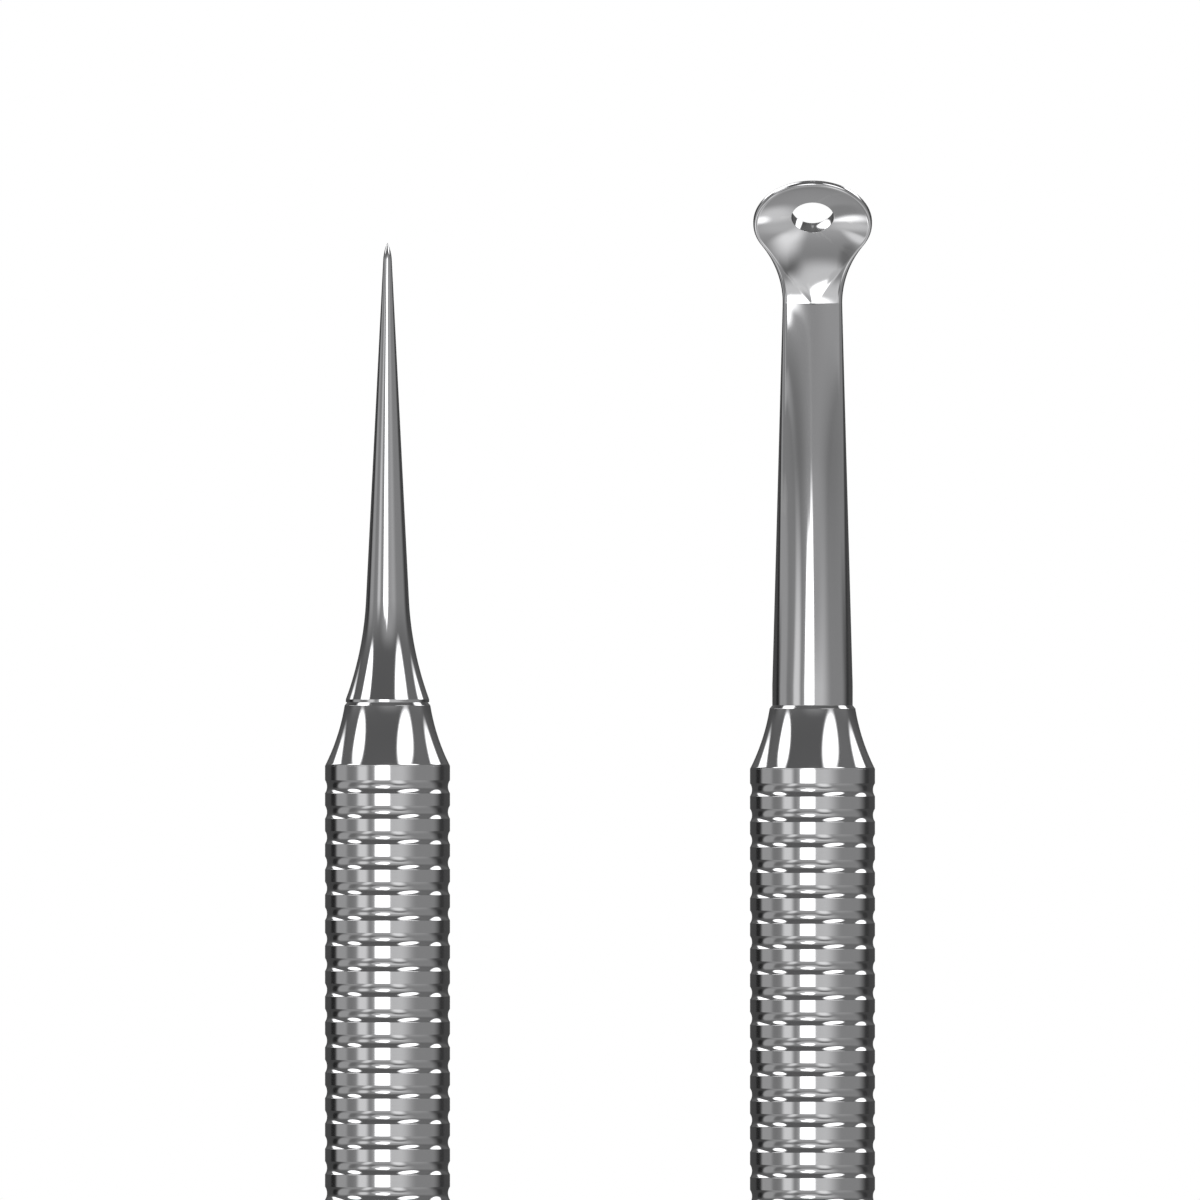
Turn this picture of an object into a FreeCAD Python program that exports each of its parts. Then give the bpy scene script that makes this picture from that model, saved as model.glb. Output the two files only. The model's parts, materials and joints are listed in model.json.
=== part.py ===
import FreeCAD, Part
import math
import os

from FreeCAD import Placement, Rotation, Vector

# A pair of like double-ended blackhead extractors, side by side, all lengths in millimetres.
# One stands needle up, the other spoon up. The faces that lean forward lean towards -Y.

# Handle: a ribbed tube
handle_dia = 8.0
handle_wall = 0.8
rib_land = 0.79
end_land = 0.91
groove_width = 0.836
groove_depth = 0.127
groove_count = 36

# End cones: turned plugs that are pressed into the tube and carry the tips
cone_height = 4.07
cone_top_dia = 5.49
cone_hollow = 0.155
cone_edge_height = 0.2
cone_edge_width = 0.165
spigot_length = 8.0
spigot_lead = 0.4
press_clearance = 0.01

# Tangs: the round stubs of the tips, pressed into the cones' sockets
tang_dia = 3.0
tang_length = 6.0
tang_lead = 0.3
socket_spare = 0.4

# Needle tip
needle_base_dia = 5.34
needle_base_height = 0.19
needle_flare_height = 6.35
needle_waist_dia = 2.755
needle_taper_height = 21.75
needle_end_dia = 0.557
needle_point_height = 1.09
needle_point_dia = 0.06

# Spoon tip: a round shank that flattens into a blade, bends forward and ends in a holed dish
shank_base_dia = 5.15
shank_base_height = 1.3
shank_height = 24.44
blade_width = 3.81
blade_thickness = 2.0
blade_corner = 0.335
head_lean_deg = 46.5
bend_start_deg = 2.0
bend_rise = 4.956
dish_dia = 7.6
rim_inset = 0.24
dish_depth = 0.7
dish_floor = 0.87
dish_hole_dia = 2.82
dish_hole_rise = 0.12

# The share of the shank's height over which its front curves back, before it runs on straight, and the shares
# at which its sections lie
shank_curve_share = 0.6
shank_section_shares = [0.0, 0.3, 0.6, 1.0]

# Scoop: a straight-sided V on the neck that opens into the dish. The hollow is a depth as a share of the half
# width, and the spread is how far the cutter runs past it
vee_start = 0.07
vee_slope = 0.585
vee_hollow = 0.09
vee_end = 1.5
scoop_spread = 1.3
scoop_section_shares = [0.03, 0.1, 0.2, 0.35, 0.5, 0.62, 0.72, 0.82, 0.91, 1.0]

# Neck sections between the shank's end and the dish's centre. Each row has the share of the way, the shares of
# the blade's thickness at the neck's edge and in its middle, and the share of the blade's corner. The last one is
# the dish's own.
neck_section_shares = [
    (0.08, 0.97, 0.99, 1.0),
    (0.2, 0.885, 0.955, 0.98),
    (0.32, 0.78, 0.92, 0.92),
    (0.44, 0.62, 0.865, 0.8),
    (0.55, 0.46, 0.80, 0.62),
    (0.65, 0.34, 0.735, 0.47),
    (0.74, 0.25, 0.715, 0.42),
    (0.86, 0.19, 0.745, 0.42),
    (1.0, 0.17, 0.785, 0.42),
]

# Pair
pair_spacing = 27.2
second_tool_drop = 0.2

# How far a cutting tool runs past what it cuts, and the bend below which three points count as a straight line
overrun = 1.0
straight_limit = 1e-6

full_turn = 360.0
half_turn = 180.0
quarter_turn = 90.0
axis_x = Vector(1, 0, 0)
axis_y = Vector(0, 1, 0)
axis_z = Vector(0, 0, 1)
origin = Vector(0, 0, 0)

handle_length = 2 * end_land + groove_count * groove_width + (groove_count - 1) * rib_land
handle_bore_dia = handle_dia - 2 * handle_wall


def radial(radius, height):
    """A point of a profile that is turned about the Z axis."""
    return Vector(radius, 0, height)


def line(start, end):
    return Part.LineSegment(start, end).toShape()


def arc(start, middle, end):
    return Part.Arc(start, middle, end).toShape()


def polyline(points):
    return [line(a, b) for a, b in zip(points, points[1:])]


def hollow_arc(start, end, hollow):
    """An arc that bows from its chord by hollow, to the left of the way from start to end."""
    chord = end - start
    left = axis_y.cross(chord).normalize() * -hollow
    return arc(start, (start + end) * 0.5 + left, end)


def tangent_arc(start, heading, end):
    """An arc in the XZ plane that leaves start along heading and reaches end."""
    chord = end - start
    turn = math.atan2(heading.cross(chord).y, heading.dot(chord))
    sagitta = 0.5 * chord.Length * math.tan(0.5 * turn)
    side = axis_y.cross(chord).normalize()
    return arc(start, (start + end) * 0.5 - side * sagitta, end)


def turned(edges):
    """A solid of revolution about the Z axis from a closed profile."""
    face = Part.Face(Part.Wire(Part.__sortEdges__(edges)))
    return face.revolve(origin, axis_z, full_turn)


def handle_tube():
    """The ribbed tube, centred on the origin."""
    outer = 0.5 * handle_dia
    inner = 0.5 * handle_bore_dia
    height = -0.5 * handle_length
    points = [radial(inner, height), radial(outer, height)]
    height += end_land
    for _ in range(groove_count):
        points.append(radial(outer, height))
        points.append(radial(outer - groove_depth, height + 0.5 * groove_width))
        points.append(radial(outer, height + groove_width))
        height += groove_width + rib_land
    top = 0.5 * handle_length
    points += [radial(outer, top), radial(inner, top), radial(inner, -top)]
    return turned(polyline(points))


def end_cone():
    """A cone plug, with its shoulder on Z = 0 and its spigot below."""
    spigot = 0.5 * handle_bore_dia - press_clearance
    socket = 0.5 * tang_dia + press_clearance
    shoulder = 0.5 * handle_dia
    flank_top = radial(0.5 * cone_top_dia, cone_height - cone_edge_height)
    face_edge = radial(0.5 * cone_top_dia - cone_edge_width, cone_height)
    socket_end = cone_height - tang_length - socket_spare
    below = [
        radial(0, socket_end),
        radial(0, -spigot_length),
        radial(spigot - spigot_lead, -spigot_length),
        radial(spigot, spigot_lead - spigot_length),
        radial(spigot, 0),
        radial(shoulder, 0),
    ]
    above = [
        flank_top,
        face_edge,
        radial(socket, cone_height),
        radial(socket, socket_end),
        radial(0, socket_end),
    ]
    flank = hollow_arc(below[-1], flank_top, cone_hollow)
    return turned(polyline(below) + [flank] + polyline(above))


def tang_points(seat_radius):
    """The profile of a tang, from its end on the axis to the outer edge of the seat above it."""
    radius = 0.5 * tang_dia
    return [
        radial(0, cone_height - tang_length),
        radial(radius - tang_lead, cone_height - tang_length),
        radial(radius, cone_height - tang_length + tang_lead),
        radial(radius, cone_height),
        radial(seat_radius, cone_height),
    ]


def needle_tip():
    """The needle, seated on its cone: a flared base, a long taper and a sharpened point."""
    base_edge = radial(0.5 * needle_base_dia, cone_height + needle_base_height)
    waist = radial(0.5 * needle_waist_dia, base_edge.z + needle_flare_height)
    taper_end = radial(0.5 * needle_end_dia, waist.z + needle_taper_height)
    point = radial(0.5 * needle_point_dia, taper_end.z + needle_point_height)
    tip = radial(0, point.z)
    along = taper_end - waist
    edges = polyline(tang_points(base_edge.x) + [base_edge])
    edges.append(tangent_arc(waist, along * -1, base_edge))
    edges.append(line(waist, taper_end))
    edges.append(tangent_arc(taper_end, along, point))
    edges += polyline([point, tip, radial(0, cone_height - tang_length)])
    return turned(edges)


def blade_outline(half_width, corner, edge_back, middle_back):
    """Start, middle and end of each edge of a blade section, as (x, depth) pairs round from the front left.

    The front is straight, and the back bows from edge_back at the sides to middle_back in the middle."""
    slack = corner * (1 - math.sqrt(0.5))
    inner = half_width - corner
    side = 0.5 * edge_back
    far = edge_back - corner
    return [
        ((-inner, 0), (0, 0), (inner, 0)),
        ((inner, 0), (half_width - slack, slack), (half_width, corner)),
        ((half_width, corner), (half_width, side), (half_width, far)),
        ((half_width, far), (half_width - slack, edge_back - slack), (inner, edge_back)),
        ((inner, edge_back), (0, middle_back), (-inner, edge_back)),
        ((-inner, edge_back), (slack - half_width, edge_back - slack), (-half_width, far)),
        ((-half_width, far), (-half_width, side), (-half_width, corner)),
        ((-half_width, corner), (slack - half_width, slack), (-inner, 0)),
    ]


def span(start, middle, end):
    """An arc through three points, or a line where they lie in a row."""
    if (middle - start).cross(end - start).Length < straight_limit:
        return line(start, end)
    return arc(start, middle, end)


def blend(a, b, share):
    return a + (b - a) * share


shank_base_top = cone_height + shank_base_height
bend_height = shank_base_top + shank_height
head_lean = math.radians(head_lean_deg)
bend_start = math.radians(bend_start_deg)
bend_radius = bend_rise / (math.sin(head_lean) - math.sin(bend_start))


def shank_thinning(share):
    """How far the front has come back at a share of the shank's height: an arc from the base, then a line."""
    if share < shank_curve_share:
        return share ** 2 / (shank_curve_share * (2 - shank_curve_share))
    return (2 * share - shank_curve_share) / (2 - shank_curve_share)


def shank_section(share):
    """The shank's outline at a share of its height, between its round base and the blade."""
    radius = 0.5 * shank_base_dia
    middle_depth = 0.5 * blade_thickness
    height = shank_base_top + share * shank_height
    edges = []
    for corners in blade_outline(0.5 * blade_width, blade_corner, blade_thickness, blade_thickness):
        first, _, last = [math.atan2(depth - middle_depth, x) for x, depth in corners]
        last += 2 * math.pi * (last < first)
        points = []
        for (x, depth), turn in zip(corners, (first, 0.5 * (first + last), last)):
            across = blend(radius * math.cos(turn), x, share)
            back = blend(radius * math.sin(turn), depth, shank_thinning(share))
            points.append(Vector(across, back, height))
        edges.append(span(*points))
    return Part.Wire(edges)


def shank():
    """Tang, round base and flattening shank."""
    seat = 0.5 * shank_base_dia
    points = tang_points(seat) + [radial(seat, shank_base_top), radial(0, shank_base_top)]
    base = turned(polyline(points + [points[0]]))
    sections = [shank_section(share) for share in shank_section_shares]
    return base.fuse(Part.makeLoft(sections, True, False))


def bend_place(share):
    """Where a section of the neck lies: X across, Y up the bent face and Z out of it."""
    rise = share * bend_rise
    lean = math.asin(math.sin(bend_start) + rise / bend_radius)
    reach = bend_radius * (math.cos(bend_start) - math.cos(lean))
    return Placement(Vector(0, -reach, bend_height + rise), Rotation(axis_x, quarter_turn + math.degrees(lean)))


def head_half_width(share):
    """Half the head's width at a share of the way to the dish: a sweep outwards that runs into the round rim."""
    waist = 0.5 * blade_width
    rim = 0.5 * dish_dia
    length = bend_rise / math.cos(head_lean)
    sweep = (waist ** 2 + length ** 2 - rim ** 2) / (2 * (rim - waist))
    slope = share * length
    rim_start = sweep * length / (sweep + rim)
    if slope < rim_start:
        return waist + sweep - math.sqrt(sweep ** 2 - slope ** 2)
    return math.sqrt(rim ** 2 - (length - slope) ** 2)


def neck_outline(share, edge_share, middle_share, corner_share):
    return blade_outline(
        head_half_width(share),
        corner_share * blade_corner,
        edge_share * blade_thickness,
        middle_share * blade_thickness,
    )


def neck():
    """The bent neck, from the end of the shank to the middle of the dish."""
    wires = [shank_section(1)]
    for row in neck_section_shares:
        place = bend_place(row[0])
        edges = []
        for corners in neck_outline(*row):
            edges.append(span(*[place.multVec(Vector(x, 0, -depth)) for x, depth in corners]))
        wires.append(Part.Wire(edges))
    return Part.makeLoft(wires, True, False)


def half_turned(edges):
    """The upper half of a shape that is turned about the dish's axis, from its profile to the right of the axis."""
    face = Part.Face(Part.Wire(Part.__sortEdges__(edges)))
    solid = face.revolve(origin, axis_z, half_turn)
    solid.Placement = bend_place(1)
    return solid


def dish_blank():
    """The upper half of the dish before it is hollowed: the neck's last section, turned about the dish's axis."""
    _, front_corner, side, back_corner, back, *_ = neck_outline(*neck_section_shares[-1])
    edges = [span(*[radial(x, -depth) for x, depth in corners]) for corners in (front_corner, side, back_corner)]
    front = edges[0].Vertexes[0].Point
    far = edges[-1].Vertexes[-1].Point
    bottom = radial(0, -back[1][1])
    edges += polyline([bottom, origin, front])
    edges.append(tangent_arc(bottom, axis_x, far))
    return half_turned(edges)


def scoop_size(share):
    """The scoop's half width and depth at a share of the way to the dish."""
    length = bend_rise / math.cos(head_lean)
    slope = share * length
    half_width = min(vee_start + vee_slope * slope, head_half_width(share) - rim_inset)
    opened = max(slope - vee_end, 0) / (length - vee_end)
    mouth = 0.5 * dish_dia - rim_inset
    hollow = blend(vee_hollow, dish_depth / mouth, opened ** 2 * (3 - 2 * opened))
    return half_width, hollow * half_width


def scoop_profile(share):
    """The right half of the scoop's cutter, as points from the bottom of its arc, which runs on past the face."""
    half_width, depth = scoop_size(share)
    radius = (half_width ** 2 + depth ** 2) / (2 * depth)
    reach = scoop_spread * half_width
    rise = radius - depth - math.sqrt(radius ** 2 - reach ** 2)
    return [radial(0, -depth), radial(reach, rise), radial(reach, overrun), radial(0, overrun)]


def scoop_channel():
    """What hollows the neck, from the point of the V to the middle of the dish."""
    wires = []
    for share in scoop_section_shares:
        place = bend_place(share)
        bottom, *right = scoop_profile(share)[:-1]
        left = [Vector(-point.x, 0, point.z) for point in right]
        points = [place.multVec(point) for point in right + left[::-1]]
        floor = arc(points[-1], place.multVec(bottom), points[0])
        wires.append(Part.Wire([floor] + polyline(points)))
    return Part.makeLoft(wires, True, False)


def scoop_bowl():
    """What hollows the upper half of the dish."""
    points = scoop_profile(1)
    edges = [tangent_arc(points[0], axis_x, points[1])]
    edges += polyline(points[1:] + points[:1])
    return half_turned(edges)


def spoon_head():
    """Neck and dish, hollowed and holed."""
    depth = dish_depth + dish_floor
    bottom = axis_y * dish_hole_rise - axis_z * (depth + overrun)
    hole = Part.makeCylinder(0.5 * dish_hole_dia, depth + 2 * overrun, bottom)
    hole.Placement = bend_place(1).multiply(hole.Placement)
    return neck().fuse(dish_blank()).cut(scoop_channel()).cut(scoop_bowl()).cut(hole)


def spoon_tip():
    """The spoon, seated on its cone."""
    return shank().fuse(spoon_head()).removeSplitter().Solids[0]


def tool_pieces():
    """The five pieces of one extractor, needle up, centred on its handle."""
    top = Placement(axis_z * (0.5 * handle_length), Rotation())
    bottom = Placement(axis_z * (-0.5 * handle_length), Rotation(axis_y, half_turn))
    return {
        "handle_tube": (handle_tube(), Placement()),
        "needle_cone": (end_cone(), top),
        "needle_tip": (needle_tip(), top),
        "spoon_cone": (end_cone(), bottom),
        "spoon_tip": (spoon_tip(), bottom),
    }


second_place = Vector(pair_spacing, 0, -second_tool_drop)
tools = {
    "needle_up": Placement(),
    "spoon_up": Placement(second_place, Rotation(axis_y, half_turn)),
}

os.makedirs("parts", exist_ok=True)
pieces = tool_pieces()
for tool, tool_place in tools.items():
    for piece, (shape, place) in pieces.items():
        solid = shape.copy()
        solid.Placement = tool_place.multiply(place).multiply(solid.Placement)
        solid.exportStep("parts/" + tool + "_" + piece + ".step")
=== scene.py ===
import json
import math

import bmesh
import bpy
from mathutils import Matrix, Vector


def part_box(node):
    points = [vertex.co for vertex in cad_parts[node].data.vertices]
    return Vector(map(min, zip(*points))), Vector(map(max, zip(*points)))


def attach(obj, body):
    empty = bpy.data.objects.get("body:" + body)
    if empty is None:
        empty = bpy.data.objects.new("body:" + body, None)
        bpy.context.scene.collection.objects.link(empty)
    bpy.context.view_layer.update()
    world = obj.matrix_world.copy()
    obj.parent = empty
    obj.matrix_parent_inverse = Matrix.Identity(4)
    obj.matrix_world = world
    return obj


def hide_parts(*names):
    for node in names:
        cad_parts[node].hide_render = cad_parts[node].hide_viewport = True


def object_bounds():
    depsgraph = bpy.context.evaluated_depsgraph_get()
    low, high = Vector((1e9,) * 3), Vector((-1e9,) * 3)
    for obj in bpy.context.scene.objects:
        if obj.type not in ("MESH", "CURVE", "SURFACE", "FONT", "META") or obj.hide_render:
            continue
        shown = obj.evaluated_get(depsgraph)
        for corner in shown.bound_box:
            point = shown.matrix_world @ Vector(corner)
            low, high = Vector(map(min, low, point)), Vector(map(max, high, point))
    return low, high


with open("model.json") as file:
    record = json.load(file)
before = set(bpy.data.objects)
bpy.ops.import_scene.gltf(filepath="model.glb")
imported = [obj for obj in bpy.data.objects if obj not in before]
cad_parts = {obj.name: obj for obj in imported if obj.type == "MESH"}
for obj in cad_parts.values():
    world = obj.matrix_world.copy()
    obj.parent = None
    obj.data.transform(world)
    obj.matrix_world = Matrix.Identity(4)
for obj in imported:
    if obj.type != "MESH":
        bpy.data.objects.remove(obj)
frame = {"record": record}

cad_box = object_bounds()

# A pair of like double-ended blackhead extractors in polished steel. Every piece is built again here as a
# fine, smooth-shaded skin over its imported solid. Lengths are in millimetres, and MM turns them into metres.
MM = 0.001
TURN = 2 * math.pi

# Handle: its length, diameter and place come from the frame, its ribs from these sizes
RIB_LAND = 0.79
END_LAND = 0.91
GROOVE_WIDTH = 0.836
GROOVE_DEPTH = 0.127
LAND_ROUND = 0.05
HANDLE_WALL = 0.8
END_ROUND = 0.006

# End cones
CONE_HEIGHT = 4.07
CONE_TOP_DIA = 5.49
CONE_HOLLOW = 0.155
CONE_EDGE_HEIGHT = 0.2
CONE_EDGE_WIDTH = 0.165
CONE_EDGE_ROUND = 0.03
SPIGOT_LENGTH = 8.0
SPIGOT_LEAD = 0.4
PRESS_CLEARANCE = 0.01
SOCKET_SPARE = 0.4

# Tangs
TANG_DIA = 3.0
TANG_LENGTH = 6.0
TANG_LEAD = 0.3

# Needle
NEEDLE_BASE_DIA = 5.34
NEEDLE_BASE_HEIGHT = 0.19
NEEDLE_BASE_ROUND = 0.03
NEEDLE_FLARE_HEIGHT = 6.35
NEEDLE_WAIST_DIA = 2.755
NEEDLE_TAPER_HEIGHT = 21.75
NEEDLE_END_DIA = 0.557
NEEDLE_POINT_HEIGHT = 1.09
NEEDLE_POINT_DIA = 0.06

# Spoon
SHANK_BASE_DIA = 5.15
SHANK_BASE_HEIGHT = 1.3
SHANK_HEIGHT = 24.44
SHANK_CURVE = 0.6
SHANK_FOOT_ROUND = 0.03
BLADE_WIDTH = 3.81
BLADE_THICKNESS = 2.0
BLADE_CORNER = 0.335
HEAD_LEAN = math.radians(46.5)
BEND_START = math.radians(2.0)
BEND_TO_DISH = 7.2
FACE_CROWN = 0.04
CROWN_FADE = 7.2
DISH_DIA = 7.6
RIM_ROUND = 0.18
RIM_FLAT = 0.06
RIM_BACK = 0.32
DISH_DEPTH = 0.7
DISH_FLOOR = 0.87
HOLE_DIA = 2.7
HOLE_ROUND = 0.03
HOLE_RISE = 0.15
VEE_START = 0.07
VEE_SLOPE = 0.585
VEE_HOLLOW = 0.095
VEE_END = 1.5
MERGE_SOFTNESS = 0.3
CREASE_SOFTNESS = 0.02
BACK_SOFTNESS = 0.25
BACK_CORNER_SHARE = 0.6

# How the head thins from the bend to the dish: the distance from the bend, the depth of the back at the edge
# and in the middle, and the round of the edges
NECK_DEPTHS = [
    (0.0, 2.0, 2.0, 0.335),
    (0.58, 1.94, 1.98, 0.335),
    (2.3, 1.56, 1.84, 0.318),
    (3.96, 0.92, 1.6, 0.285),
    (5.33, 0.5, 1.26, 0.2),
    (6.6, 0.34, 0.84, 0.18),
    (7.2, 0.32, 0.6, 0.18),
    (11.0, 0.32, 0.32, 0.18),
]

# Mesh density
LATHE_SEGMENTS = 120
ROUND_STEPS = 5
LAND_STEPS = 3
GUARD_SHARE = 1.4
FLANK_STEPS = 28
GROOVE_STEPS = 10
POINT_STEPS = 16
NECK_COLUMNS = 44
RIM_COLUMNS = 120
BEND_COLUMNS = 28
SCOOP_ROWS = 40
FACET_ROWS = 12
CORNER_STEPS = 8
SIDE_STEPS = 4
BACK_ROWS = 36
SHANK_ROWS = 48
HALVINGS = 40

# Pair and camera
FRAME_WIDTH = 76.8
FRAME_CENTRE_X = 13.6
FRAME_CENTRE_Z = 40.4
LENS_MM = 1500.0
SENSOR_MM = 36.0
CLIP_START = 10.0


class Skin:
    """The points and faces of one closed surface, gathered row by row."""

    def __init__(self):
        self.points = []
        self.faces = []

    def row(self, points):
        """Adds points and returns their numbers."""
        start = len(self.points)
        self.points.extend(points)
        return list(range(start, len(self.points)))

    def strip(self, low, high, closed):
        """Faces between two rows of as many points. Points that the rows share make triangles."""
        pairs = list(zip(low, high))
        ends = pairs[1:] + pairs[:1] if closed else pairs[1:]
        for (a, d), (b, c) in zip(pairs, ends):
            corners = []
            for number in (a, b, c, d):
                if number not in corners:
                    corners.append(number)
            if len(corners) > 2:
                self.faces.append(corners)

    def strips(self, rows, closed):
        for low, high in zip(rows, rows[1:]):
            self.strip(low, high, closed)


def blend(a, b, share):
    return a + (b - a) * share


def eased(count):
    """Shares from 0 to 1 that lie closer together near both ends."""
    return [0.5 - 0.5 * math.cos(math.pi * k / count) for k in range(count + 1)]


def even(count):
    return [k / count for k in range(count + 1)]


def arc_points(start, heading, end, steps):
    """Points of the arc that leaves start along heading and reaches end, in the (radius, height) plane."""
    start, heading, end = Vector(start), Vector(heading).normalized(), Vector(end)
    chord = end - start
    turn = math.atan2(heading.x * chord.y - heading.y * chord.x, heading.dot(chord))
    points = []
    for share in even(steps):
        angle = turn * share
        reach = chord.length * math.sin(angle) / math.sin(turn)
        spin = Matrix.Rotation(angle, 2)
        points.append(start + spin @ heading * reach)
    return points


def bowed(start, end, hollow, steps):
    """Points of an arc in the (radius, height) plane that bows towards the axis by hollow."""
    start, end = Vector(start), Vector(end)
    chord = end - start
    swing = 2 * math.atan(2 * hollow / chord.length)
    return arc_points(start, Matrix.Rotation(swing, 2) @ chord, end, steps)


def rounded(corners, steps=ROUND_STEPS):
    """A profile from (radius, height, round) corners, each rounded by an arc of that radius.

    A point beside each end of the arc keeps the flats next to it flat in smooth shading.
    """
    profile = []
    for k, (radius, height, fillet) in enumerate(corners):
        here = Vector((radius, height))
        if fillet == 0 or k in (0, len(corners) - 1):
            profile.append(here)
            continue
        before = (Vector(corners[k - 1][:2]) - here).normalized()
        after = (Vector(corners[k + 1][:2]) - here).normalized()
        half = 0.5 * before.angle(after)
        reach = fillet / math.tan(half)
        profile.append(here + before * reach * GUARD_SHARE)
        profile.extend(arc_points(here + before * reach, -before, here + after * reach, steps))
        profile.append(here + after * reach * GUARD_SHARE)
    return profile


def lathe(profile):
    """A skin turned about Z from a (radius, height) profile, which ends on the axis or closes on itself."""
    skin = Skin()
    rows = []
    for radius, height in profile:
        if radius == 0:
            rows.append(skin.row([(0, 0, height)]) * LATHE_SEGMENTS)
            continue
        angles = [TURN * k / LATHE_SEGMENTS for k in range(LATHE_SEGMENTS)]
        rows.append(skin.row([(radius * math.cos(a), radius * math.sin(a), height) for a in angles]))
    if profile[0][0] != 0:
        rows.append(rows[0])
    skin.strips(rows, True)
    return skin


def handle_skin(radius, length):
    """The ribbed tube. Each groove is a hollow arc between lands with softly rounded edges."""
    bore = radius - HANDLE_WALL
    count = round((length - 2 * END_LAND + RIB_LAND) / (GROOVE_WIDTH + RIB_LAND))
    height = -0.5 * length
    corners = [(bore, height, 0), (radius, height, END_ROUND)]
    height += END_LAND
    for _ in range(count):
        groove = bowed((radius, height), (radius, height + GROOVE_WIDTH), GROOVE_DEPTH, GROOVE_STEPS)
        rounds = [LAND_ROUND] + [0] * (GROOVE_STEPS - 1) + [LAND_ROUND]
        corners += [(*point, fillet) for point, fillet in zip(groove, rounds)]
        height += GROOVE_WIDTH + RIB_LAND
    corners.append((radius, 0.5 * length, END_ROUND))
    corners.append((bore, 0.5 * length, 0))
    return lathe(rounded(corners, LAND_STEPS))


def cone_skin(handle_radius):
    """An end cone with its hollow flank, its bright edge, its socket and its spigot."""
    top = 0.5 * CONE_TOP_DIA
    socket = 0.5 * TANG_DIA + PRESS_CLEARANCE
    socket_end = CONE_HEIGHT - TANG_LENGTH - SOCKET_SPARE
    spigot = handle_radius - HANDLE_WALL - PRESS_CLEARANCE
    below = rounded([
        (0, -SPIGOT_LENGTH, 0),
        (spigot - SPIGOT_LEAD, -SPIGOT_LENGTH, 0),
        (spigot, SPIGOT_LEAD - SPIGOT_LENGTH, 0),
        (spigot, 0, 0),
        (handle_radius - END_ROUND, 0, 0),
    ])
    flank_top = (top, CONE_HEIGHT - CONE_EDGE_HEIGHT)
    flank = bowed((handle_radius, END_ROUND), flank_top, CONE_HOLLOW, FLANK_STEPS)
    above = rounded([
        (*flank[-2], 0),
        (*flank_top, CONE_EDGE_ROUND),
        (top - CONE_EDGE_WIDTH, CONE_HEIGHT, CONE_EDGE_ROUND),
        (socket, CONE_HEIGHT, 0),
        (socket, socket_end, 0),
        (0, socket_end, 0),
    ])
    return lathe(below + flank[:-2] + above)


def tang_corners(seat_radius):
    """The profile of a tang, from its end on the axis to the outer edge of the seat above it."""
    radius = 0.5 * TANG_DIA
    return [
        (0, CONE_HEIGHT - TANG_LENGTH),
        (radius - TANG_LEAD, CONE_HEIGHT - TANG_LENGTH),
        (radius, CONE_HEIGHT - TANG_LENGTH + TANG_LEAD),
        (radius, CONE_HEIGHT),
        (seat_radius, CONE_HEIGHT),
    ]


def needle_skin():
    """The needle: a flared base, a long taper and a sharpened point."""
    base = 0.5 * NEEDLE_BASE_DIA
    base_top = CONE_HEIGHT + NEEDLE_BASE_HEIGHT
    waist = Vector((0.5 * NEEDLE_WAIST_DIA, base_top + NEEDLE_FLARE_HEIGHT))
    taper_end = Vector((0.5 * NEEDLE_END_DIA, waist.y + NEEDLE_TAPER_HEIGHT))
    point = Vector((0.5 * NEEDLE_POINT_DIA, taper_end.y + NEEDLE_POINT_HEIGHT))
    along = taper_end - waist
    flare = arc_points(waist, -along, (base, base_top), FLANK_STEPS)[::-1]
    edge = rounded([
        (*tang_corners(base)[-2], 0),
        (base, CONE_HEIGHT, NEEDLE_BASE_ROUND),
        (base, base_top, NEEDLE_BASE_ROUND),
        (*flare[2], 0),
    ])
    taper = [waist.lerp(taper_end, share) for share in even(FLANK_STEPS)]
    sharpened = arc_points(taper_end, along, point, POINT_STEPS)
    tip = [Vector((0, point.y))]
    tang = [Vector(p) for p in tang_corners(base)[:-2]]
    return lathe(tang + edge + flare[3:-1] + taper[:-1] + sharpened + tip)


def interpolate(table, column, at):
    """The value of a table's column at a place, on a smooth curve that doesn't overshoot."""
    places = [line[0] for line in table]
    values = [line[column] for line in table]
    if at <= places[0]:
        return values[0]
    if at >= places[-1]:
        return values[-1]
    k = max(n for n, place in enumerate(places) if place <= at)
    slopes = []
    for n in (k, k + 1):
        inner = 0 < n < len(table) - 1
        left = (values[n] - values[n - 1]) / (places[n] - places[n - 1]) if inner else 0
        right = (values[n + 1] - values[n]) / (places[n + 1] - places[n]) if inner else 0
        slopes.append(2 * left * right / (left + right) if left * right > 0 else 0)
    run = places[k + 1] - places[k]
    t = (at - places[k]) / run
    return (
        values[k] * (2 * t ** 3 - 3 * t ** 2 + 1)
        + values[k + 1] * (3 * t ** 2 - 2 * t ** 3)
        + slopes[0] * run * (t ** 3 - 2 * t ** 2 + t)
        + slopes[1] * run * (t ** 3 - t ** 2)
    )


def soft_min(a, b, softness):
    overlap = max(softness - abs(a - b), 0) / softness
    return min(a, b) - 0.25 * softness * overlap ** 2


WAIST = 0.5 * BLADE_WIDTH
RIM = 0.5 * DISH_DIA
HOLE = 0.5 * HOLE_DIA
RIM_INSET = RIM_ROUND + RIM_FLAT
MOUTH = RIM - RIM_INSET
DISH = Vector((0, BEND_TO_DISH))
DISH_HOLLOW = DISH_DEPTH / MOUTH
DOME_DEPTH = DISH_DEPTH + DISH_FLOOR
DOME_SAG = DOME_DEPTH - RIM_BACK
DOME = (RIM ** 2 + DOME_SAG ** 2) / (2 * DOME_SAG)
NECK_SWEEP = (WAIST ** 2 + BEND_TO_DISH ** 2 - RIM ** 2) / (2 * (RIM - WAIST))
NECK_CENTRE = Vector((WAIST + NECK_SWEEP, 0))
NECK_ANGLE = math.atan2(BEND_TO_DISH, NECK_CENTRE.x)


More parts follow.
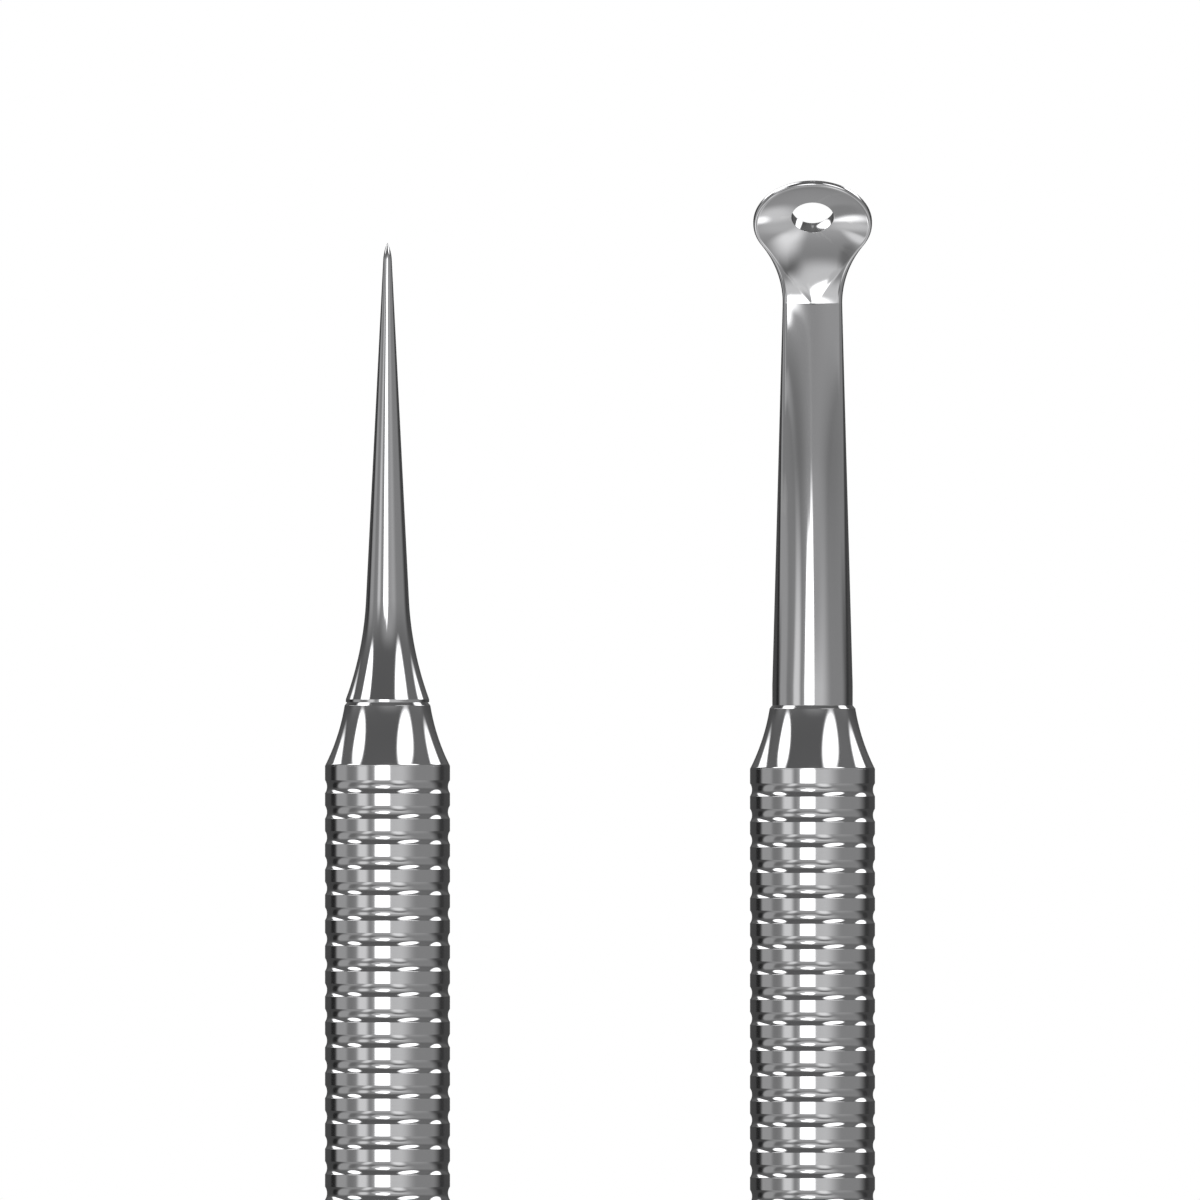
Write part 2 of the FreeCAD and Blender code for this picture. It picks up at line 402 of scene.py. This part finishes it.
def scoop_half_width(u):
    """Half the scoop's width: a straight-sided V on the neck, then the line of the rim."""
    vee = VEE_START + VEE_SLOPE * u
    return soft_min(vee, head_half_width(u) - RIM_INSET, MERGE_SOFTNESS)


def scoop_height(x, u):
    """The height of the scoop over the face: a round dish, and a channel that runs from it down to the V."""
    if u > BEND_TO_DISH:
        return DISH_DEPTH * ((x ** 2 + (u - BEND_TO_DISH) ** 2) / MOUTH ** 2 - 1)
    half_width = scoop_half_width(u)
    share = min(max((u - VEE_END) / (BEND_TO_DISH - VEE_END), 0), 1)
    hollow = blend(VEE_HOLLOW, DISH_HOLLOW, share ** 2 * (3 - 2 * share))
    return hollow * half_width * ((x / half_width) ** 2 - 1)


def crown_height(x, u):
    """How far the front of the blade and of the neck swells out in the middle."""
    fade = max(1 - max(u, 0) / CROWN_FADE, 0)
    return FACE_CROWN * fade * max(1 - (x / (WAIST - BLADE_CORNER)) ** 2, 0)


def face_height(x, u):
    """The front of the head: the crowned face with the scoop sunk into it, and a soft crease between them."""
    return crown_height(x, u) + soft_min(0, scoop_height(x, u), CREASE_SOFTNESS)


def head_half_width(u):
    """Half the head's width at a distance from the bend."""
    if u < NECK_SWEEP * math.sin(NECK_ANGLE):
        return NECK_CENTRE.x - math.sqrt(NECK_SWEEP ** 2 - max(u, 0) ** 2)
    return math.sqrt(max(RIM ** 2 - (u - BEND_TO_DISH) ** 2, 0))


def back_height(x, u):
    """The back of the head: the dish's dome and the neck that runs out into it."""
    edge = interpolate(NECK_DEPTHS, 1, u)
    middle = interpolate(NECK_DEPTHS, 2, u)
    share = min(abs(x) / max(head_half_width(u), HOLE), 1)
    neck = blend(middle, edge, share ** 2)
    out = min(math.hypot(x, u - BEND_TO_DISH), DOME)
    dome = DOME_DEPTH - DOME + math.sqrt(DOME ** 2 - out ** 2)
    return soft_min(-neck, -dome, BACK_SOFTNESS * min(edge, 1))


def mouth_place(edge):
    """Where the way from the dish's centre to a point of the head's edge leaves the scoop."""
    low, high = 0, 0.99
    for _ in range(HALVINGS):
        share = 0.5 * (low + high)
        spot = DISH.lerp(edge, share)
        if scoop_height(*spot) < 0:
            low = share
        else:
            high = share
    return DISH.lerp(edge, low)


def head_outline():
    """Points and outward normals of the head's edge, from the bend's right end over the rim to its left."""
    pairs = []
    for share in even(NECK_COLUMNS):
        angle = NECK_ANGLE * share
        inward = Vector((math.cos(angle), -math.sin(angle)))
        pairs.append((NECK_CENTRE - inward * NECK_SWEEP, inward))
    for share in even(RIM_COLUMNS)[1:-1]:
        angle = blend(-NECK_ANGLE, math.pi + NECK_ANGLE, share)
        outward = Vector((math.cos(angle), math.sin(angle)))
        pairs.append((DISH + outward * RIM, outward))
    mirror = Matrix(((-1, 0), (0, 1)))
    pairs += [(mirror @ point, mirror @ normal) for point, normal in reversed(pairs[:NECK_COLUMNS + 1])]
    return pairs


def along_dish(x, u, surface):
    """How far a point of a surface of the head lies up the dish's slope from its centre."""
    return (head_to_tip((x, u, surface(x, u))) - DISH_CENTRE).dot(DISH_UP)


def drilled(way, radius, surface):
    """Where a bore square to the dish comes through a surface of the head, on one way from its centre."""
    x = way.x * radius
    goal = way.y * radius + HOLE_RISE
    low, high = BEND_TO_DISH - 2 * radius, BEND_TO_DISH + 2 * radius
    for _ in range(HALVINGS):
        u = 0.5 * (low + high)
        if along_dish(x, u, surface) < goal:
            low = u
        else:
            high = u
    return Vector((x, low))


def front_column(edge, way):
    """Points of the face on the way from the hole to a point of its edge."""
    start = drilled(way, HOLE + HOLE_ROUND, face_height)
    mouth = mouth_place(edge)
    places = [start.lerp(mouth, share) for share in eased(SCOOP_ROWS)]
    places += [mouth.lerp(edge, share) for share in eased(FACET_ROWS)[1:]]
    return [Vector((p.x, p.y, face_height(p.x, p.y))) for p in places]


def hole_column(way):
    """Points of the hole's wall from the back to the face, with rounded edges, in the tip's frame."""
    depths = []
    for surface in (back_height, face_height):
        x, u = drilled(way, HOLE + HOLE_ROUND, surface)
        depths.append((head_to_tip((x, u, surface(x, u))) - DISH_CENTRE).dot(DISH_OUT))
    back, front = depths
    rings = []
    for share in even(ROUND_STEPS)[1:]:
        turn = 0.25 * TURN * share
        rings.append((HOLE + HOLE_ROUND * (1 - math.sin(turn)), back + HOLE_ROUND * (1 - math.cos(turn))))
    for share in even(ROUND_STEPS)[:-1]:
        turn = 0.25 * TURN * share
        rings.append((HOLE + HOLE_ROUND * (1 - math.cos(turn)), front - HOLE_ROUND * (1 - math.sin(turn))))
    across = Vector((way.x, 0, 0)) + DISH_UP * way.y
    centre = DISH_CENTRE + DISH_UP * HOLE_RISE
    return [centre + across * radius + DISH_OUT * depth for radius, depth in rings]


def side_column(point, normal):
    """Points round the head's edge, from the face to the back."""
    corner = interpolate(NECK_DEPTHS, 3, point.y)
    depth = interpolate(NECK_DEPTHS, 1, point.y)
    back_corner = min(corner, BACK_CORNER_SHARE * (depth - corner))
    inner = point - normal * back_corner
    back = back_height(*inner)
    points = []
    for share in even(CORNER_STEPS):
        turn = 0.25 * TURN * share
        spot = point - normal * corner * (1 - math.sin(turn))
        points.append(Vector((*spot, corner * (math.cos(turn) - 1))))
    side_end = min(back + back_corner, -corner)
    for share in even(SIDE_STEPS)[1:-1]:
        points.append(Vector((*point, blend(-corner, side_end, share))))
    for share in even(CORNER_STEPS):
        turn = 0.25 * TURN * share
        spot = point - normal * back_corner * (1 - math.cos(turn))
        points.append(Vector((*spot, blend(side_end, back, math.sin(turn)))))
    return points


def back_column(edge, way):
    """Points of the back on the way from the head's edge to the hole."""
    lip = drilled(way, HOLE + HOLE_ROUND, back_height)
    places = [edge.lerp(lip, share) for share in eased(BACK_ROWS)[1:]]
    return [Vector((p.x, p.y, back_height(p.x, p.y))) for p in places]


BEND_HEIGHT = CONE_HEIGHT + SHANK_BASE_HEIGHT + SHANK_HEIGHT
BEND_RISE = BEND_TO_DISH * math.cos(HEAD_LEAN)
BEND_RADIUS = BEND_RISE / (math.sin(HEAD_LEAN) - math.sin(BEND_START))


def head_to_tip(point):
    """From the head's own frame, across, up the slope and out of the face, to the tip's, with the bend."""
    x, u, w = point
    rise = u * math.cos(HEAD_LEAN)
    lean = HEAD_LEAN
    reach = 0
    if rise < BEND_RISE:
        lean = math.asin(math.sin(BEND_START) + rise / BEND_RADIUS)
    else:
        reach = (rise - BEND_RISE) * math.tan(HEAD_LEAN)
    reach += BEND_RADIUS * (math.cos(BEND_START) - math.cos(lean))
    y = -reach - w * math.cos(lean)
    z = BEND_HEIGHT + rise - w * math.sin(lean)
    return Vector((x, y, z))


DISH_CENTRE = head_to_tip((0, BEND_TO_DISH, 0))
DISH_UP = Vector((0, -math.sin(HEAD_LEAN), math.cos(HEAD_LEAN)))
DISH_OUT = Vector((0, -math.cos(HEAD_LEAN), -math.sin(HEAD_LEAN)))


def thinned(share):
    """How far the front has come back at a share of the shank's height: an arc, then a straight line."""
    if share < SHANK_CURVE:
        return share ** 2 / (SHANK_CURVE * (2 - SHANK_CURVE))
    return (2 * share - SHANK_CURVE) / (2 - SHANK_CURVE)


def spoon_skin():
    """The spoon tip: head, bend, flattening shank, round base and tang, as one closed skin."""
    skin = Skin()
    outline = head_outline()
    corner = BLADE_CORNER
    bend_xs = [blend(corner - WAIST, WAIST - corner, share) for share in even(BEND_COLUMNS)]
    bend_edges = [Vector((x, 0)) for x in bend_xs]
    sides = [side_column(point, normal) for point, normal in outline]
    edges = bend_edges + [Vector(side[0][:2]) for side in sides[1:-1]]
    backs = bend_edges + [Vector(side[-1][:2]) for side in sides[1:-1]]
    ways = [(edge - DISH).normalized() for edge in edges]

    def place(points):
        return skin.row([head_to_tip(p) for p in points])

    front = [place(front_column(edge, way)) for edge, way in zip(edges, ways)]
    hole = [skin.row(hole_column(way)) for way in ways]
    inner_side = [place(side[1:-1]) for side in sides]
    back = []
    for edge, way in zip(backs, ways):
        start = Vector((edge.x, edge.y, back_height(edge.x, edge.y)))
        back.append(place([start] + back_column(edge, way)))
    skin.strips(front + front[:1], False)
    skin.strips(back + back[:1], False)
    walls = [b[-1:] + h + f[:1] for b, h, f in zip(back, hole, front)]
    skin.strips(walls + walls[:1], False)
    rounds = list(range(BEND_COLUMNS, len(edges))) + [0]
    strips = [[front[n][-1]] + side + [back[n][0]] for n, side in zip(rounds, inner_side)]
    skin.strips(strips, False)

    front_line = [column[-1] for column in front[:BEND_COLUMNS + 1]]
    back_line = [column[0] for column in back[:BEND_COLUMNS + 1]]
    loop = front_line + inner_side[0] + back_line[::-1] + inner_side[-1][::-1]
    section = [Vector((x, -crown_height(x, 0))) for x in bend_xs]
    section += [Vector((p.x, -p.z)) for p in sides[0][1:-1]]
    section += [Vector((x, BLADE_THICKNESS)) for x in reversed(bend_xs)]
    section += [Vector((p.x, -p.z)) for p in reversed(sides[-1][1:-1])]
    rows = [loop]
    base_top = CONE_HEIGHT + SHANK_BASE_HEIGHT
    circle = round_section(section)
    for share in eased(SHANK_ROWS)[-2::-1]:
        height = blend(base_top, BEND_HEIGHT, share)
        thin = thinned(share)
        row = [(blend(a.x, b.x, share), blend(a.y, b.y, thin), height) for a, b in zip(circle, section)]
        rows.append(skin.row([Vector(p) for p in row]))
    seat = 0.5 * SHANK_BASE_DIA
    foot = rounded([
        (seat, base_top, 0),
        (seat, CONE_HEIGHT, SHANK_FOOT_ROUND),
        (*tang_corners(seat)[-2], 0),
    ])
    for radius, height in foot[1:] + [Vector(p) for p in tang_corners(seat)[-3:0:-1]]:
        rows.append(skin.row([Vector((*(p * (radius / seat)), height)) for p in circle]))
    rows.append(skin.row([Vector((0, 0, CONE_HEIGHT - TANG_LENGTH))]) * len(circle))
    skin.strips(rows, True)
    return skin


def round_section(section):
    """The shank's round base: where each point of the blade's section comes down to on the circle."""
    corner = BLADE_CORNER
    inner = WAIST - corner
    far = BLADE_THICKNESS - corner
    half = 0.5 * BLADE_THICKNESS
    ends = [(-inner, 0), (inner, 0), (WAIST, corner), (WAIST, far), (inner, BLADE_THICKNESS),
            (-inner, BLADE_THICKNESS), (-WAIST, far), (-WAIST, corner), (-inner, 0)]
    turns = [math.atan2(depth - half, x) for x, depth in ends]
    turns = [turn + TURN * (k > 0 and turn < turns[0] or k == len(turns) - 1) for k, turn in enumerate(turns)]
    points = []
    radius = 0.5 * SHANK_BASE_DIA
    for x, depth in section:
        turn = section_turn(Vector((x, depth)), ends, turns)
        points.append(Vector((radius * math.cos(turn), radius * math.sin(turn))))
    return points


def section_turn(spot, ends, turns):
    """The angle on the base that a point of the section comes down to, by its share of its edge."""
    best = None
    for (start, end, first, last) in zip(ends, ends[1:], turns, turns[1:]):
        start, end = Vector(start), Vector(end)
        chord = end - start
        share = (spot - start).dot(chord) / chord.length_squared
        clamped = min(max(share, 0), 1)
        gap = (start + chord * clamped - spot).length
        if best is None or gap < best[0]:
            best = (gap, blend(first, last, clamped))
    return best[1]


class Nodes:
    """Adds nodes to a tree, so that a formula can be written in order."""

    def __init__(self, tree):
        self.tree = tree

    def new(self, kind, **settings):
        node = self.tree.nodes.new(kind)
        for name, value in settings.items():
            setattr(node, name, value)
        return node

    def put(self, socket, value):
        """Links an output to a socket, or sets the socket to a number."""
        if isinstance(value, bpy.types.NodeSocket):
            self.tree.links.new(value, socket)
        else:
            socket.default_value = value

    def math(self, operation, *values, clamp=False):
        node = self.new("ShaderNodeMath", operation=operation, use_clamp=clamp)
        for socket, value in zip(node.inputs, values):
            self.put(socket, value)
        return node.outputs[0]

    def smooth(self, value, start, end):
        """0 at start, 1 at end, and a smooth step between them."""
        node = self.new("ShaderNodeMapRange", interpolation_type="SMOOTHSTEP")
        self.put(node.inputs["Value"], value)
        node.inputs["From Min"].default_value = start
        node.inputs["From Max"].default_value = end
        return node.outputs[0]

    def mix(self, share, a, b):
        node = self.new("ShaderNodeMix")
        self.put(node.inputs[0], share)
        self.put(node.inputs[2], a)
        self.put(node.inputs[3], b)
        return node.outputs[0]

    def patch(self, x, width, y, height, softness, squareness):
        """1 inside a soft-edged shape about the origin, between an ellipse and a rectangle, and 0 outside."""
        power = 0
        for place, size in ((x, width), (y, height)):
            share = self.math("ABSOLUTE", self.math("MULTIPLY", place, 2 / size))
            power = self.math("ADD", self.math("POWER", share, squareness), power)
        out = self.math("POWER", power, 1 / squareness)
        return self.smooth(out, 1 + softness, 1 - softness)

    def ramp(self, place, stops):
        """A smooth curve of light through (elevation, grey) stops."""
        node = self.new("ShaderNodeValToRGB")
        node.color_ramp.interpolation = "B_SPLINE"
        while len(node.color_ramp.elements) < len(stops):
            node.color_ramp.elements.new(0.5)
        for element, (elevation, grey) in zip(node.color_ramp.elements, stops):
            element.position = (elevation + 90) / 180
            element.color = (*[mirrored(grey)] * 3, 1)
        self.put(node.inputs[0], place)
        return node.outputs[0]

    def noise(self, place, scale, detail):
        """Noise at a place that is stretched by a scale along each axis."""
        stretch = self.new("ShaderNodeMapping")
        stretch.inputs["Scale"].default_value = scale
        self.put(stretch.inputs["Vector"], place)
        node = self.new("ShaderNodeTexNoise")
        node.inputs["Scale"].default_value = 1
        node.inputs["Detail"].default_value = detail
        self.put(node.inputs["Vector"], stretch.outputs[0])
        return node.outputs[0]

    def colours(self, share, a, b):
        """A colour between two."""
        node = self.new("ShaderNodeMix", data_type="RGBA")
        self.put(node.inputs[0], share)
        node.inputs[6].default_value = (*a, 1)
        node.inputs[7].default_value = (*b, 1)
        return node.outputs[2]


# Steel: its own colour and its colour on worn edges, how rough it is, and where edges count as worn
STEEL_COLOUR = (0.62, 0.62, 0.63)
WORN_COLOUR = (0.7, 0.7, 0.705)
POLISH = 0.05
POLISH_SPREAD = 0.05
EDGE_LOW = 0.515
EDGE_HIGH = 0.56
EDGE_DULLING = 0.08
# Clouds of the polish per millimetre, and how fine the two kinds of noise are
CLOUDS = 0.35
CLOUD_DETAIL = 4.0
MARK_DETAIL = 3.0
# Marks of each finish: how many per millimetre across, in depth and along the tool, and how high they stand
FINISHES = {
    "handle_steel": ((0.4, 0.4, 9.0), 0.00045),
    "cone_steel": ((0.3, 0.3, 7.0), 0.0003),
    "tip_steel": ((5.0, 5.0, 0.25), 0.0002),
}


def steel(name):
    """Polished steel: fine turning marks, a cloudy polish, and edges that are worn brighter and duller."""
    marks, height = FINISHES[name]
    material = bpy.data.materials.new(name)
    material.use_nodes = True
    nodes = Nodes(material.node_tree)
    shader = material.node_tree.nodes["Principled BSDF"]
    shader.inputs["Metallic"].default_value = 1
    place = nodes.new("ShaderNodeTexCoord").outputs["Object"]
    edge = nodes.smooth(nodes.new("ShaderNodeNewGeometry").outputs["Pointiness"], EDGE_LOW, EDGE_HIGH)
    lines = nodes.noise(place, [count / MM for count in marks], MARK_DETAIL)
    cloud = nodes.noise(place, [CLOUDS / MM] * 3, CLOUD_DETAIL)
    wear = nodes.math("MULTIPLY", edge, cloud)
    nodes.put(shader.inputs["Base Color"], nodes.colours(wear, STEEL_COLOUR, WORN_COLOUR))
    rough = nodes.math("MULTIPLY_ADD", cloud, POLISH_SPREAD, POLISH)
    nodes.put(shader.inputs["Roughness"], nodes.math("MULTIPLY_ADD", wear, EDGE_DULLING, rough))
    bump = nodes.new("ShaderNodeBump")
    bump.inputs["Strength"].default_value = 1
    bump.inputs["Distance"].default_value = height * MM
    nodes.put(bump.inputs["Height"], lines)
    nodes.put(shader.inputs["Normal"], bump.outputs[0])
    return material


def add_piece(name, skin, place, node, body, material):
    mesh = bpy.data.meshes.new(name)
    mesh.from_pydata([place @ (Vector(p) * MM) for p in skin.points], [], skin.faces)
    shell = bmesh.new()
    shell.from_mesh(mesh)
    bmesh.ops.recalc_face_normals(shell, faces=shell.faces)
    shell.to_mesh(mesh)
    shell.free()
    mesh.polygons.foreach_set("use_smooth", [True] * len(mesh.polygons))
    mesh.materials.append(material)
    piece = bpy.data.objects.new(name, mesh)
    bpy.context.scene.collection.objects.link(piece)
    piece.visible_glossy = False
    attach(piece, body)
    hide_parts(node)


handle_low, handle_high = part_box("needle_up_handle_tube")
handle_radius = 0.5 * (handle_high[0] - handle_low[0]) / MM
handle_length = (handle_high[2] - handle_low[2]) / MM
half_turn_y = Matrix.Rotation(math.pi, 4, "Y")
needle_end = Matrix.Translation((0, 0, 0.5 * handle_length * MM))
spoon_end = half_turn_y @ needle_end
mounts = {mount["name"]: mount for mount in frame["record"]["mounts"]}
spoon_up_place = Matrix.Translation(mounts["spoon_up_grip"]["pos_m"]) @ half_turn_y
tools = {"needle_up": Matrix.Identity(4), "spoon_up": spoon_up_place}
materials = {slot: steel(slot) for slot in ("handle_steel", "cone_steel", "tip_steel")}
cone = cone_skin(handle_radius)
skins = {
    "handle_tube": (handle_skin(handle_radius, handle_length), Matrix.Identity(4), "handle_steel"),
    "needle_cone": (cone, needle_end, "cone_steel"),
    "needle_tip": (needle_skin(), needle_end, "tip_steel"),
    "spoon_cone": (cone, spoon_end, "cone_steel"),
    "spoon_tip": (spoon_skin(), spoon_end, "tip_steel"),
}
for tool, tool_place in tools.items():
    for piece, (skin, place, slot) in skins.items():
        node = tool + "_" + piece
        add_piece(node + "_skin", skin, tool_place @ place, node, tool + "_tool", materials[slot])

camera_data = bpy.data.cameras.new("camera")
camera_data.lens = LENS_MM
camera_data.sensor_width = SENSOR_MM
camera_data.clip_start = CLIP_START * MM
camera = bpy.data.objects.new("camera", camera_data)
bpy.context.scene.collection.objects.link(camera)
distance = FRAME_WIDTH * MM * LENS_MM / SENSOR_MM
camera.location = (FRAME_CENTRE_X * MM, -distance, FRAME_CENTRE_Z * MM)
camera.rotation_euler = (0.25 * TURN, 0, 0)
bpy.context.scene.camera = camera

# Studio: what the steel mirrors. Azimuths are in degrees from the camera's side, positive to its right,
# elevations in degrees from the horizon, and greys are what the steel shows of them. 255 is white, and a lamp
# is brighter than that. GROUND_LIMIT keeps the ground's plane from running off near the horizon.
STEEL_REFLECTANCE = 0.62
FRONT_GREYS = [
    (-90, 150), (-70, 158), (-55, 148), (-42, 134), (-30, 124), (-12, 122), (0, 126), (8, 122), (15, 101),
    (22, 82), (45, 82), (75, 90), (90, 105),
]
REAR_GREYS = [
    (-90, 140), (-75, 141), (-50, 136), (-40, 90), (-30, 60), (0, 62), (8, 68), (15, 92), (24, 70), (45, 66),
    (75, 90), (90, 105),
]
REAR_START = 92
REAR_END = 118
LAMP_GREY = 330
GROUND_LIMIT = 0.1
# Upright panels: azimuth of the middle, width, lowest and highest elevation, grey, lean in degrees of azimuth
# per degree of elevation, softness of the edges as a share of the half size, and squareness, where 2 is an
# ellipse. Later ones cover earlier ones.
PANELS = {
    "window_glow": (-8, 36, -26, 4, 188, 0.0, 0.45, 2.5),
    "right_card": (18, 40, -20, 7, 192, 0.0, 1.0, 3),
    "right_dark": (24, 26, -34, -13, 96, 0.0, 0.5, 2),
    "left_dark": (-32, 14, -37, -20, 102, 0.0, 0.5, 2),
    "upper_card": (4, 56, 2, 19, 142, 0.0, 0.6, 2.5),
    "window": (-9.1, 27.2, -12, 11.5, LAMP_GREY, 0.0, 0.14, 2.6),
    "window_peak": (-3.5, 12, -4, 14, LAMP_GREY, 0.0, 0.35, 2),
    "window_corner": (-22, 17, -20, -3.5, 172, 0.0, 0.2, 2),
    "left_card": (-47, 20, -16, 8, 198, 0.0, 0.5, 2.5),
    "left_gap": (-72, 18, -36, 0, 100, 0.0, 0.6, 2.5),
    "left_wall": (-95, 28, -34, 10, 144, 0.0, 0.3, 3),
    "left_flag": (-121, 16, -22, 6, 34, 0.0, 0.5, 2.5),
    "right_flag": (122, 16, -22, 4, 50, 0.0, 0.5, 2.5),
    "left_upper": (-98, 30, 14, 60, 90, 0.0, 0.6, 3),
    "right_upper": (82, 40, 14, 60, 100, 0.0, 0.6, 3),
    "left_lamp": (-72, 28, 17, 45.5, LAMP_GREY, 0.1, 0.2, 2),
    "right_lamp": (45, 38, 18.5, 54, LAMP_GREY, -0.4, 0.2, 2),
    "rear_left_lamp": (-113, 20, 16, 74, LAMP_GREY, 0.55, 0.2, 2.5),
    "rear_right_lamp": (119, 31, 17, 50, LAMP_GREY, 0.3, 0.25, 2),
    "front_right_pool": (26, 28, -76, -31, 218, 0.0, 0.6, 2),
    "front_left_pool": (-49, 18, -62, -35, 206, 0.0, 0.6, 2),
}
# Pools of light on the ground, on a plane one unit below: place to the right and to the back, length, width,
# turn in degrees, grey, softness and squareness
POOLS = {
    "left_pool": (-0.42, -0.04, 0.6, 0.34, -58, 188, 0.7, 2),
    "left_streak": (-0.33, 0.14, 0.44, 0.1, -50, 280, 0.9, 2.5),
    "left_shade": (-0.21, 0.24, 0.6, 0.2, -54, 126, 0.4, 3),
    "right_haze": (0.36, -0.12, 0.72, 0.42, 80, 170, 0.7, 2),
    "right_pool": (0.36, 0.26, 0.46, 0.3, 50, 194, 0.7, 2),
    "right_streak": (0.49, 0.27, 0.19, 0.1, 62, 285, 0.8, 2),
}


def linear(grey):
    """A display grey from 0 to 255 as linear light. Above 255 it goes on as a straight line."""
    share = min(grey, 255) / 255
    light = share / 12.92 if share <= 0.04045 else ((share + 0.055) / 1.055) ** 2.4
    return light * max(grey / 255, 1) ** 2


def mirrored(grey):
    """The light that the steel shows as a grey."""
    return linear(grey) / STEEL_REFLECTANCE


def studio_light(nodes):
    """The light of the studio by direction."""
    direction = nodes.new("ShaderNodeTexCoord").outputs["Generated"]
    split = nodes.new("ShaderNodeSeparateXYZ")
    nodes.put(split.inputs[0], direction)
    x, y, z = split.outputs
    azimuth = nodes.math("DEGREES", nodes.math("ARCTAN2", x, nodes.math("MULTIPLY", y, -1)))
    elevation = nodes.math("DEGREES", nodes.math("ARCSINE", z))
    height = nodes.math("MULTIPLY_ADD", elevation, 1 / 180, 0.5)
    behind = nodes.smooth(nodes.math("ABSOLUTE", azimuth), REAR_START, REAR_END)
    light = nodes.mix(behind, nodes.ramp(height, FRONT_GREYS), nodes.ramp(height, REAR_GREYS))
    for middle, width, low, high, grey, lean, softness, squareness in PANELS.values():
        rise = nodes.math("SUBTRACT", elevation, 0.5 * (low + high))
        along = nodes.math("SUBTRACT", azimuth, middle)
        across = nodes.math("MULTIPLY_ADD", rise, -lean, along)
        share = nodes.patch(across, width, rise, high - low, softness, squareness)
        light = nodes.mix(share, light, mirrored(grey))
    fall = nodes.math("MAXIMUM", nodes.math("MULTIPLY", z, -1), GROUND_LIMIT)
    right = nodes.math("DIVIDE", x, fall)
    back = nodes.math("DIVIDE", y, fall)
    for place_x, place_y, length, width, turn, grey, softness, squareness in POOLS.values():
        cos, sin = math.cos(math.radians(turn)), math.sin(math.radians(turn))
        dx = nodes.math("SUBTRACT", right, place_x)
        dy = nodes.math("SUBTRACT", back, place_y)
        along = nodes.math("MULTIPLY_ADD", dx, cos, nodes.math("MULTIPLY", dy, sin))
        across = nodes.math("MULTIPLY_ADD", dy, cos, nodes.math("MULTIPLY", dx, -sin))
        share = nodes.patch(along, length, across, width, softness, squareness)
        light = nodes.mix(share, light, mirrored(grey))
    return light


def studio_world():
    """White for the camera and for soft light, the studio for mirror rays."""
    world = bpy.data.worlds.new("studio")
    world.use_nodes = True
    nodes = Nodes(world.node_tree)
    path = nodes.new("ShaderNodeLightPath")
    light = nodes.mix(path.outputs["Is Glossy Ray"], 1.0, studio_light(nodes))
    background = world.node_tree.nodes["Background"]
    nodes.put(background.inputs["Color"], light)
    return world


# Floor: a pale round board just below the lower tip, whose rim fades into the white
FLOOR_GAP = 0.2
FLOOR_RADIUS = 420.0
FLOOR_FADE = 220.0
FLOOR_COLOUR = (0.93, 0.93, 0.93)
FLOOR_ROUGHNESS = 0.9
FLOOR_SHINE = 0.1
FLOOR_SIDES = 96


def floor_material():
    """Pale matt board. It is seen right through at its rim."""
    material = bpy.data.materials.new("floor")
    material.use_nodes = True
    nodes = Nodes(material.node_tree)
    shader = material.node_tree.nodes["Principled BSDF"]
    shader.inputs["Base Color"].default_value = (*FLOOR_COLOUR, 1)
    shader.inputs["Roughness"].default_value = FLOOR_ROUGHNESS
    shader.inputs["Specular IOR Level"].default_value = FLOOR_SHINE
    place = nodes.new("ShaderNodeTexCoord").outputs["Object"]
    reach = nodes.new("ShaderNodeVectorMath", operation="LENGTH")
    nodes.put(reach.inputs[0], place)
    fade = nodes.smooth(reach.outputs["Value"], FLOOR_RADIUS * MM, FLOOR_FADE * MM)
    nodes.put(shader.inputs["Alpha"], fade)
    return material


def add_floor():
    lowest = min(corner[2] for corner in cad_box)
    mesh = bpy.data.meshes.new("floor")
    turns = [TURN * k / FLOOR_SIDES for k in range(FLOOR_SIDES)]
    rim = [(FLOOR_RADIUS * MM * math.cos(a), FLOOR_RADIUS * MM * math.sin(a), 0) for a in turns]
    mesh.from_pydata(rim, [], [list(range(FLOOR_SIDES))])
    mesh.materials.append(floor_material())
    floor = bpy.data.objects.new("floor", mesh)
    floor.location = (FRAME_CENTRE_X * MM, 0, lowest - FLOOR_GAP * MM)
    floor.visible_glossy = False
    bpy.context.scene.collection.objects.link(floor)


add_floor()
bpy.context.scene.world = studio_world()
bpy.context.scene.view_settings.view_transform = "Standard"
